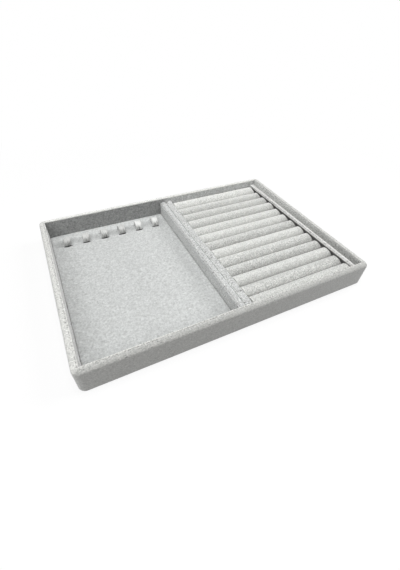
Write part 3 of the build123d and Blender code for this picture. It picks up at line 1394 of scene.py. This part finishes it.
    def leaning(self, points: np.ndarray, number: int) -> np.ndarray:
        """Lean, turn and lift a loop above the pad, as worn straps do.

        Args:
            points: The points to move.
            number: The loop's number.

        Returns:
            The points.
        """
        low, high = box_of(self.node(number))
        lean, slant, twist, lift = (
            values[number - 1] for values in (self.leans, self.slants, self.twists, self.lifts)
        )
        middle = (low[0] + high[0]) / 2, sum(self.leg_faces(number)) / 2
        share = ramp(points[:, 2], self.pad_top(), high[2])
        turn = np.radians(twist) * share
        x, y = (points[:, axis] - middle[axis] for axis in (0, 1))
        points[:, 0] = middle[0] + x * np.cos(turn) - y * np.sin(turn) + slant * share
        points[:, 1] = middle[1] + x * np.sin(turn) + y * np.cos(turn) + lean * share
        points[:, 2] += lift * share**2
        return points

    def build(self) -> None:
        """Make and dress the six loops."""
        for number, tone in zip(self.numbers, self.tones):
            painted_light = partial(self.painted_light, number=number)
            piece = self.form(number).to_object(f"strap_loop_{number}", self.swell, painted_light)
            finish = self.finish.tinted(f"strap_velvet_{number}", tone)
            settle(piece, finish.material(), PAD, self.node(number))


# The ring insert


@dataclass
class InsertWalls:
    """The velvet covers of the insert's two side walls."""

    velvet: float = 1.1
    edge_round: float = 0.9
    left_node: str = "ring_insert_left_cover"
    right_node: str = "ring_insert_right_cover"
    levels: tuple[float, ...] = (4.2, 3.4, 2.6, 1.8)  # rows of points below the right wall's top
    seam_place: float = 0.26  # of the right wall's seam, from its upper inner edge each way
    seam_width: float = 0.9
    seam_depth: float = 0.35
    seam_shade: float = 0.7
    inner_painted_light: float = 0.16  # painted light: how much lighter the right wall's inner face is
    gap_shadow: float = 0.88  # painted shadow: how dark the inner face is below the fold
    gap_shadow_start: Span = (2.6, 0.6)  # where that starts at the middle, and how much lower at the back
    back_shade: float = 0.12  # how much darker the wall is at the back than at the middle
    bulge: float = 1.1
    bulge_span: Span = (-40.0, 70.0)  # where the bulge starts and is full, in Y
    end_bulge: float = 2.4  # of another bulge at the back end
    end_span: Span = (80.0, 117.0)  # where that starts and is full
    bulge_depth: Span = (4.2, 2.2)  # where it starts and is full, down from the top
    bulge_inset: Span = (2.4, 0.9)  # where it starts and is full, from the inner face
    end_lift: float = 1.3  # height of the fold over the right wall's back end
    end_width: float = 6.0
    end_reach: float = 8.0
    end_shift: float = 1.0  # how far inside the wall it stands
    left_folds: EndFolds = EndFolds(3.6, 0.4, (1.6, 0.0), (4.0, 4.5))
    step: float = 2.4
    left_swell: Span = (0.12, 15.0)
    right_swell: Span = (0.05, 30.0)
    left_finish: Velvet = Velvet(
        "insert_wall_velvet", (0.592, 0.60, 0.592), Nap.CRUSHED, patch_size=7.0, patch_gain=0.2,
        crushed_share=0.65, fleck_size=2.3, fleck_gain=0.60, glint_gain=0.15, grain_size=1.5,
        grain_gain=1.2, rounding_highlight_gain=0.06,
    )
    # Much lighter than the other velvets: a painted highlight along the bar's top
    right_finish: Velvet = Velvet(
        "insert_bar_velvet", (0.90, 0.90, 0.88), fleck_gain=0.12, grain_gain=0.5, rounding_highlight_gain=0.0,
        crease_shade_gain=0.8, upright_tone=0.9,
    )

    def build(self) -> None:
        """Make and dress both covers."""
        top = box_of(self.right_node)[1][2]
        raised = partial(self.left_folds.raised, corners=box_of(self.left_node))
        form = self.cover(self.left_node, 0, ()).shaped(raised)
        piece = form.to_object("ring_insert_left_velvet", self.left_swell)
        settle(piece, self.left_finish.material(), INSERT, self.left_node)
        form = self.cover(self.right_node, 1, [top - down for down in self.levels]).shaped(self.folded)
        piece = form.to_object("ring_insert_right_velvet", self.right_swell, self.shade, self.seam)
        settle(piece, self.right_finish.material(), INSERT, self.right_node)

    def cover(self, node: str, outside: int, levels: Sequence[float]) -> Form:
        """Make one cover, which leaves out what lies against the base board.

        Args:
            node: The CAD node that it stands for.
            outside: 0 for the left wall, whose outer flank is the low one, or 1.
            levels: Heights that the points must have besides.

        Returns:
            Its form.
        """
        corners = box_of(node)
        flank, floor = corners[outside][0], box_of("ring_insert_base")[1][2]

        def on_base(middle: np.ndarray) -> bool:
            """Say whether a face's middle lies where the base board is."""
            return middle[2] < floor and abs(middle[0] - flank) > TOUCH

        extra = ((), (), (floor, *levels))
        return soft_block(*corners, self.edge_round, self.step, self.velvet, extra, on_base)

    def inner_face(self, points: np.ndarray) -> np.ndarray:
        """Place the right wall's inner face near its top, which bulges towards the back.

        Args:
            points: The points, of which Y counts.

        Returns:
            The face's X at each point.
        """
        low, _ = box_of(self.right_node)
        bulge = self.bulge * ramp(points[:, 1], *self.bulge_span)
        return low[0] - bulge - self.end_bulge * ramp(points[:, 1], *self.end_span)

    def folded(self, points: np.ndarray) -> np.ndarray:
        """Let the right wall's fold bulge inwards and press the seam into its upper inner edge.

        Args:
            points: The points to move.

        Returns:
            The points.
        """
        x, _, z = points.T
        low, high = box_of(self.right_node)
        near_top = ramp(high[2] - z, *self.bulge_depth)
        x += (self.inner_face(points) - low[0]) * near_top * ramp(x - low[0], *self.bulge_inset)
        pressed = self.seam_depth * self.seam(points)
        x += pressed
        z -= pressed
        middle, base = low[0] - self.end_shift, high[2] - self.left_folds.depth
        return end_fold(points, high[1], middle, self.end_width, self.end_lift, self.end_reach, base)

    def shade(self, points: np.ndarray) -> np.ndarray:
        """Give the right wall's painted light: its inner face is lighter, and painted dark with shadow
        below the fold, with the wall darker to the back and shaded in the seam.

        Args:
            points: The points.

        Returns:
            Their tones.
        """
        x, y, z = points.T
        low, high = box_of(self.right_node)
        inner = x < low[0] + self.edge_round
        start, growth = self.gap_shadow_start
        start = start + growth * y / high[1]
        in_gap_shadow = ramp(high[2] - z, start, start + 1)
        tone = (1 + self.inner_painted_light * inner) * (1 - self.gap_shadow * in_gap_shadow * inner)
        return tone * (1 - self.back_shade * y / high[1]) * (1 - self.seam_shade * self.seam(points))

    def seam(self, points: np.ndarray) -> np.ndarray:
        """Find the seam in the right wall's upper inner edge.

        Args:
            points: The points.

        Returns:
            1 along the seam, and 0 at its sides.
        """
        x, _, z = points.T
        across = x - self.inner_face(points) - self.seam_place
        down = box_of(self.right_node)[1][2] - z - self.seam_place
        return ramp(np.hypot(across, down), self.seam_width, 0)


@dataclass(frozen=True)
class Roll:
    """What is a roll's own: heights and reaches in millimetres, and tones."""

    crest: float  # how much higher than the frame's roll it stands
    tone: float
    crushed: float  # share of its velvet whose pile is pressed
    nap: float  # painted light: how much lighter it is on its back side
    reach: float = 1.6  # how far it reaches past the frame's roll at the right


@dataclass
class RingRolls:
    """The foam rolls in velvet sleeves that hold rings in between."""

    velvet: float = 1.1
    clearance: float = 0.15  # between the sleeve and its foam
    left_round: float = 1.0
    right_round: float = 1.2
    inner_share: float = 0.6  # share of an inset that the radius of the ends loses
    left_reach: float = 0.3  # how far a roll reaches past the frame's roll at the left
    slant: float = 4.4  # how far a right end slants back towards its crest, for half the roll's height
    slant_reach: float = 20.0  # how far along the roll the slant dies out
    slant_limits: Span = (0.35, -0.2)  # shares of the half height where it is zero and full
    # Painted light on the left ends, and painted shade at the right ends' foot
    left_light: float = 0.35
    right_shade: float = 0.85
    right_foot: float = 2.0  # how far past the frame's roll the right ends' shade is full
    right_fade: float = 3.4
    sink: float = 0.3  # how deep a roll is pressed flat on the base
    foot_rise: float = 0.001  # how much the flat part rises along each ring, which keeps it off the level
    flat_share: float = 0.12  # how much slimmer a low roll is, for each millimetre
    # Height, radius and length of each swell, and how far apart the rolls lie in it
    swells: tuple[tuple[float, ...], ...] = ((0.016, 31.0, 34.0, 97.0), (0.006, 9.0, 7.0, 57.0))
    widest: float = 1.02  # most that a roll swells towards its neighbours
    pleats: int = 11
    pleat_depth: float = 0.02
    dome: float = 0.45  # how far an end is domed
    dome_rings: tuple[float, ...] = (0.12, 0.35, 0.6)  # as shares of the end's flat part
    edge_rings: int = 7
    fill: float = 0.85
    around: int = 72
    step: float = 2.4
    patch_growth: float = 0.6  # how much stronger the patches get with the crushed share
    patch_start: float = 0.35  # crushed share from which they do
    fleck_start: float = 0.1  # crushed share from which there are flecks
    grain_growth: Span = (0.6, 0.9)  # the grain's strength where nothing is crushed, and its growth
    rolls: tuple[Roll, ...] = (  # from the back
        Roll(1.1, 1.10, 0.3, 0.05, -0.2),
        Roll(-0.7, 0.95, 0.4, 0.22, 1.2),
        Roll(-0.3, 0.94, 0.35, 0.19),
        Roll(0.1, 1.0, 0.4, 0.18),
        Roll(-1.3, 1.02, 0.25, 0.13),
        Roll(-1.0, 1.04, 0.3, 0.17),
        Roll(-0.9, 0.9, 0.65, 0.22),
        Roll(-0.1, 1.04, 0.25, 0.12),
        Roll(-0.2, 0.96, 0.6, 0.15),
        Roll(-0.8, 0.91, 0.6, 0.28),
        Roll(0.35, 1.0, 0.25, 0.12),
        Roll(-0.3, 0.90, 0.65, 0.0),
        Roll(1.0, 0.94, 0.45, -0.03),
    )
    finish: Velvet = Velvet(
        "roll_velvet", (0.63, 0.635, 0.612), Nap.CRUSHED, patch_size=9.0, patch_gain=0.07,
        fleck_size=3.2, fleck_gain=0.5, glint_gain=0.06, fleck_sides=0.6, grain_size=1.6,
        grain_gain=1.1, rounding_highlight_gain=0.0, crest_highlight_gain=0.08, upright_tone=0.90, sheen=1.0,
    )
    core: Foam = Foam("core_foam", (0.72, 0.70, 0.64))

    def build(self) -> None:
        """Make and dress the sleeves and their foam."""
        foam = self.core.material()
        for index, roll in enumerate(self.rolls):
            name = f"roll_{index + 1:02d}"
            node = f"ring_{name}_sleeve"
            outer = closed_skin(self.rings(index, 0.0, self.step, self.around))
            inner = closed_skin(self.rings(index, self.velvet, 2 * self.step, self.around // 2))
            sleeve = outer.joined(inner.turned_inside_out())
            piece = sleeve.to_object(f"{name}_sleeve", painted_light=partial(self.painted_light, node=node, nap=roll.nap))
            settle(piece, self.sleeve_finish(name, roll).material(), INSERT, node)
            inset = self.velvet + self.clearance
            core = closed_skin(self.rings(index, inset, 2 * self.step, self.around // 3))
            piece = core.to_object(f"{name}_foam")
            settle(piece, foam, INSERT, f"ring_{name}_foam")

    def sleeve_finish(self, name: str, roll: Roll) -> Velvet:
        """Make a sleeve's finish, whose marks are the stronger the more its pile is crushed.

        Args:
            name: The roll's name.
            roll: The roll.

        Returns:
            The velvet.
        """
        patches = self.finish.patch_gain + self.patch_growth * max(roll.crushed - self.patch_start, 0)
        flecks = self.finish.fleck_gain * (roll.crushed - self.fleck_start)
        least, growth = self.grain_growth
        grain = self.finish.grain_gain * (least + growth * roll.crushed)
        gains = {"patch_gain": patches, "fleck_gain": flecks, "grain_gain": grain}
        name = name.replace("roll", "roll_velvet")
        return self.finish.tinted(name, roll.tone, crushed_share=roll.crushed, **gains)

    def painted_light(self, points: np.ndarray, node: str, nap: float) -> np.ndarray:
        """Give a sleeve's painted light: lighter on its back side and at its left end, with painted shade
        at its right end's foot.

        Args:
            points: The points.
            node: The sleeve's CAD node.
            nap: How much painted light makes the back side lighter.

        Returns:
            Their tones.
        """
        x, y, _ = points.T
        low, high = box_of(node)
        light = self.left_light * ramp(x, low[0] + self.left_round, low[0])
        full = high[0] + self.right_foot
        shade = self.right_shade * ramp(x, full - self.right_fade, full)
        back = (2 * y - low[1] - high[1]) / (high[1] - low[1])
        return (1 + light - shade) * (1 + nap * back)

    def rings(self, index: int, inset: float, step: float, around: int) -> np.ndarray:
        """Make the rings of one roll.

        Args:
            index: The roll's place in the row, from the back.
            inset: How far the surface lies inside the sleeve's outer one.
            step: Widest distance between two rings.
            around: Points in a ring.

        Returns:
            Rings of points in a row from left to right.
        """
        roll = self.rolls[index]
        low, high = box_of(f"ring_roll_{index + 1:02d}_sleeve")
        left, right = low[0] + inset - self.left_reach, high[0] - inset + roll.reach
        foot, crest = low[2] + inset, high[2] + roll.crest - inset
        half_depth = (high[1] - low[1]) / 2 - inset + self.flat_share * min(roll.crest, 0)
        half_height = (crest - foot + self.sink) / 2
        middle = (low[1] + high[1]) / 2, crest - half_height
        lost = self.inner_share * inset
        first = self.end_rings(self.left_round - lost, half_height)
        last = self.end_rings(self.right_round - lost, half_height)
        start, finish = left + first[-1][0], right - last[-1][0]
        count = math.ceil((finish - start) / step)
        shares = [(left + x, share, dome) for x, share, dome in first]
        shares += [(x, 1.0, 0.0) for x in np.linspace(start, finish, count + 1)[1:-1]]
        shares += [(right - x, share, dome) for x, share, dome in reversed(last)]
        level, lowest = self.slant_limits
        rings = np.empty((len(shares), around, 3))
        for row, (x, share, dome) in enumerate(shares):
            near_end = max(1 - (right - x) / self.slant_reach, 0)
            for place, turn in enumerate(np.linspace(0, 2 * math.pi, around, endpoint=False)):
                across, up = math.cos(turn), math.sin(turn)
                swell = 1.0
                for height, radius, length, apart in self.swells:
                    swell += height * unevenness((x, radius * across + apart * index, radius * up), length)
                pleat = 1 + dome * self.pleat_depth * math.sin(self.pleats * turn + index)
                y = middle[0] + half_depth * share * across * min(swell, self.widest) * pleat
                z = middle[1] + half_height * share * up * swell * pleat
                slant = self.slant * (level - max(up, lowest)) * near_end
                rings[row, place] = (x + slant, y, max(z, foot + self.foot_rise * place / around))
        return rings

    def end_rings(self, rounding: float, radius: float) -> list[Triple]:
        """Place the rings of a rounded end.

        Args:
            rounding: Radius of its edge.
            radius: The roll's radius.

        Returns:
            For each ring, its distance from the end, its share of the radius and how domed it is.
        """
        flat = 1 - rounding / radius
        end = [(self.dome * share**2, share * flat, 1.0) for share in self.dome_rings]
        for angle in np.linspace(0, math.pi / 2, self.edge_rings):
            dome = 1 - math.sin(angle)
            across = self.dome * dome + rounding * (1 - math.cos(angle))
            end.append((across, 1 - rounding / radius * dome, dome))
        return end


# Studio


@dataclass(frozen=True)
class Lamp:
    """A soft square lamp that looks at the tray."""

    name: str
    place: Triple  # in metres
    share: float  # how much of a white sheet's full light it gives at the tray
    size: float = 1.2  # its width and height, in metres

    def build(self) -> None:
        """Make the lamp."""
        data = bpy.data.lights.new(self.name, "AREA")
        data.shape = "SQUARE"
        data.size = self.size
        way = Vector(self.place)
        data.energy = self.share * math.pi**2 * way.length**3 / way.z
        lamp = bpy.data.objects.new(self.name, data)
        lamp.location = way
        lamp.rotation_euler = (-way).to_track_quat("-Z", "Y").to_euler()
        bpy.context.scene.collection.objects.link(lamp)


@dataclass
class Studio:
    """The floor, the soft light and the camera of the photograph. Places are in metres."""

    floor_half: float = 4.0
    floor_white: float = 0.98
    floor_tone: float = 0.30  # how light the floor is for the light that it throws back
    glow: float = 0.80  # share of the floor's white that isn't touched by shadow, near the tray
    shadow_reach: Span = (0.26, 0.55)  # where the shadow starts to fade and where it is gone
    fill: float = 0.25  # strength of the even light from all round
    lamps: tuple[Lamp, ...] = (
        Lamp("top_light", (0.0, 0.0, 2.1), 0.37),
        Lamp("front_light", (-1.1, -1.1, 1.4), 0.235),
        Lamp("right_light", (1.75, 0.0, 1.1), 0.25),
        Lamp("left_light", (-1.75, 0.0, 1.1), 0.08),
    )
    camera_place: Triple = (-0.14170, -0.27461, 0.26054)
    azimuth: float = -28.70  # the side that the camera stands on, in degrees
    elevation: float = 44.93
    roll: float = 3.27  # how far it is turned about its own axis
    lens: float = 18.89
    sensor: float = 36.0  # along the picture's long side
    clip: Span = (0.01, 50.0)

    def build(self) -> None:
        """Make the floor, the world, the lamps and the camera."""
        self.floor()
        self.world()
        for lamp in self.lamps:
            lamp.build()
        self.camera()

    def floor(self) -> None:
        """Make a pale floor that is white to the camera and keeps the shadow."""
        mesh = bpy.data.meshes.new("floor")
        ways = ((-1, -1), (1, -1), (1, 1), (-1, 1))
        corners = [(x * self.floor_half, y * self.floor_half, 0) for x, y in ways]
        mesh.from_pydata(corners, [], [(0, 1, 2, 3)])
        floor = bpy.data.objects.new("floor", mesh)
        bpy.context.scene.collection.objects.link(floor)
        material, graph = new_material("floor_paper")
        place = graph.add("ShaderNodeTexCoord").of("Object")
        far = graph.add("ShaderNodeVectorMath", {"operation": "LENGTH"}, {0: place}).of("Value")
        white = far.step(*self.shadow_reach) * (1 - self.glow) + self.glow
        shown, thrown = (
            graph.add("ShaderNodeBsdfDiffuse", None, {"Color": (tone, tone, tone, 1.0)})
            for tone in (self.floor_white, self.floor_tone)
        )
        glow = graph.add("ShaderNodeEmission", None, {"Color": (1, 1, 1, 1), "Strength": 1.0})
        bright = graph.add("ShaderNodeMixShader", None, {0: white, 1: shown, 2: glow})
        both = graph.add("ShaderNodeMixShader", None, {0: self.seen(graph), 1: thrown, 2: bright})
        graph.add("ShaderNodeOutputMaterial", None, {"Surface": both})
        mesh.materials.append(material)

    @staticmethod
    def seen(graph: Graph) -> Signal:
        """Find out what the camera sees, directly or in a mirror or glass.

        Args:
            graph: The graph in which this is wanted.

        Returns:
            1 for what it sees, and otherwise 0.
        """
        rays = graph.add("ShaderNodeLightPath")
        first = rays.math("MAXIMUM", rays.of("Is Camera Ray"), rays.of("Is Glossy Ray"))
        return rays.math("MAXIMUM", first, rays.of("Is Transmission Ray"))

    def world(self) -> None:
        """Make an even light that is white where the camera sees it."""
        world = bpy.data.worlds.new("studio")
        bpy.context.scene.world = world
        world.use_nodes = True
        world.node_tree.nodes.clear()
        graph = Graph(world.node_tree)
        fill, white = (
            graph.add("ShaderNodeBackground", None, {"Color": (1, 1, 1, 1), "Strength": strength})
            for strength in (self.fill, 1.0)
        )
        both = graph.add("ShaderNodeMixShader", None, {0: self.seen(graph), 1: fill, 2: white})
        graph.add("ShaderNodeOutputWorld", None, {"Surface": both})

    def camera(self) -> None:
        """Make the camera where the photograph was taken from."""
        azimuth, elevation, roll = (math.radians(a) for a in (self.azimuth, self.elevation, self.roll))
        out, height = math.cos(elevation), math.sin(elevation)
        back = Vector((math.sin(azimuth) * out, -math.cos(azimuth) * out, height))
        level = (-back).cross(Vector((0, 0, 1))).normalized()
        upright = level.cross(-back)
        right = level * math.cos(roll) + upright * math.sin(roll)
        up = upright * math.cos(roll) - level * math.sin(roll)
        data = bpy.data.cameras.new("camera")
        data.lens = self.lens
        data.sensor_width = self.sensor
        data.clip_start, data.clip_end = self.clip
        camera = bpy.data.objects.new("camera", data)
        turned = Matrix((right, up, back)).transposed().to_4x4()
        camera.matrix_world = Matrix.Translation(Vector(self.camera_place)) @ turned
        bpy.context.scene.collection.objects.link(camera)
        bpy.context.scene.camera = camera


def main() -> None:
    """Build the tray's pieces in order, then the studio round them."""
    logging.basicConfig(level=logging.INFO, format="%(name)s: %(message)s", stream=sys.stdout)
    bpy.context.scene.view_settings.view_transform = "Standard"
    parts = (OuterWrap(), WallLinings(), Divider(), Bottom(), NecklacePad(), StrapLoops())
    parts += (InsertWalls(), RingRolls(), Studio())
    for part in parts:
        part.build()
        report.info("%s built", type(part).__name__)


if __name__ == "__main__":
    main()
